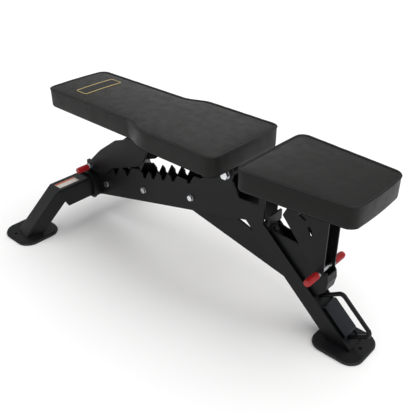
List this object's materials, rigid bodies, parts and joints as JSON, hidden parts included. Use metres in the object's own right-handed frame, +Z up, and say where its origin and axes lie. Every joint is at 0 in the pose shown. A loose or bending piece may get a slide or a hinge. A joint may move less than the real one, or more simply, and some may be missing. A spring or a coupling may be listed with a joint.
{
  "type": "adjustable weight bench",
  "caption": "Adjustable weight bench: padded backrest and seat on a notched steel spine with side plates, splayed head-end legs, a sloping seat-end leg and rod-and-ladder angle settings.",
  "frame": {"origin": "on the floor under the middle of the bench, midway between its two ends and on its centre line", "axes": "+X towards the seat end, +Y to the left of a person sitting on it and facing +X, +Z up"},
  "size_m": [1.132, 0.604, 0.45],
  "materials": {
    "upholstery": "fine-grained charcoal leatherette, satin",
    "plywood": "raw birch plywood",
    "frame_paint": "satin black powder coat",
    "zinc_steel": "bright zinc plate",
    "black_hardware": "black zinc",
    "grip_rubber": "ribbed red rubber",
    "foot_rubber": "matt black rubber with a treaded edge"
  },
  "bodies": {
    "frame": {"side_plate_right": "frame_paint", "side_plate_left": "frame_paint", "spine_tube": "frame_paint", "frame_gusset": "frame_paint", "head_crossmember": "frame_paint", "head_leg_right": "frame_paint", "head_leg_left": "frame_paint", "head_foot_plate_right": "frame_paint", "head_foot_plate_left": "frame_paint", "seat_foot_plate": "frame_paint", "head_foot_pad_right": "foot_rubber", "head_foot_pad_left": "foot_rubber", "seat_foot_pad": "foot_rubber", "leg_web": "frame_paint", "leg_cover": "frame_paint", "seat_ladder": "frame_paint", "carry_handle": "frame_paint", "spine_bolts": "zinc_steel", "spine_nuts": "zinc_steel", "leg_web_bolts": "black_hardware", "sleeve_bolts": "black_hardware", "back_hinge_bolt": "zinc_steel", "back_hinge_nut": "zinc_steel", "seat_hinge_bolt": "zinc_steel", "seat_hinge_nut": "zinc_steel"},
    "backrest": {"back_pad": "upholstery", "back_board": "plywood", "back_frame": "frame_paint", "back_pad_bolts": "zinc_steel", "support_pivot_bolt": "zinc_steel", "support_pivot_nut": "zinc_steel", "support_pivot_bushings": "zinc_steel"},
    "backrest_support": {"support_arm_right": "frame_paint", "support_arm_left": "frame_paint", "support_rod": "zinc_steel", "support_grip_right": "grip_rubber", "support_grip_left": "grip_rubber", "support_collars": "zinc_steel"},
    "seat": {"seat_pad": "upholstery", "seat_board": "plywood", "seat_frame": "frame_paint", "seat_pad_bolts": "zinc_steel", "hanger_pivot_bolt": "zinc_steel", "hanger_pivot_nut": "zinc_steel"},
    "seat_support": {"seat_hanger": "frame_paint", "seat_rod": "zinc_steel", "seat_grip_right": "grip_rubber", "seat_grip_left": "grip_rubber", "seat_collars": "zinc_steel"}
  },
  "joints": [
    {"name": "back_tilt", "type": "hinge", "parent": "frame", "child": "backrest", "pos_m": [0.133, 0, 0.354], "axis": [0, 1, 0], "range_deg": [0, 80]},
    {"name": "support_swing", "type": "hinge", "parent": "backrest", "child": "backrest_support", "pos_m": [-0.132, 0, 0.362], "axis": [0, 1, 0], "range_deg": [-124.06, 0]},
    {"name": "seat_tilt", "type": "hinge", "parent": "frame", "child": "seat", "pos_m": [0.249, 0, 0.368], "axis": [0, -1, 0], "range_deg": [0, 16]},
    {"name": "seat_strut_swing", "type": "hinge", "parent": "seat", "child": "seat_support", "pos_m": [0.38, 0, 0.362], "axis": [0, -1, 0], "range_deg": [-23.28, 0]}
  ],
  "couplings": [
    {"joint": "support_swing", "follows": "back_tilt", "ratio": -1.5445},
    {"joint": "seat_strut_swing", "follows": "seat_tilt", "ratio": -1.4236}
  ]
}
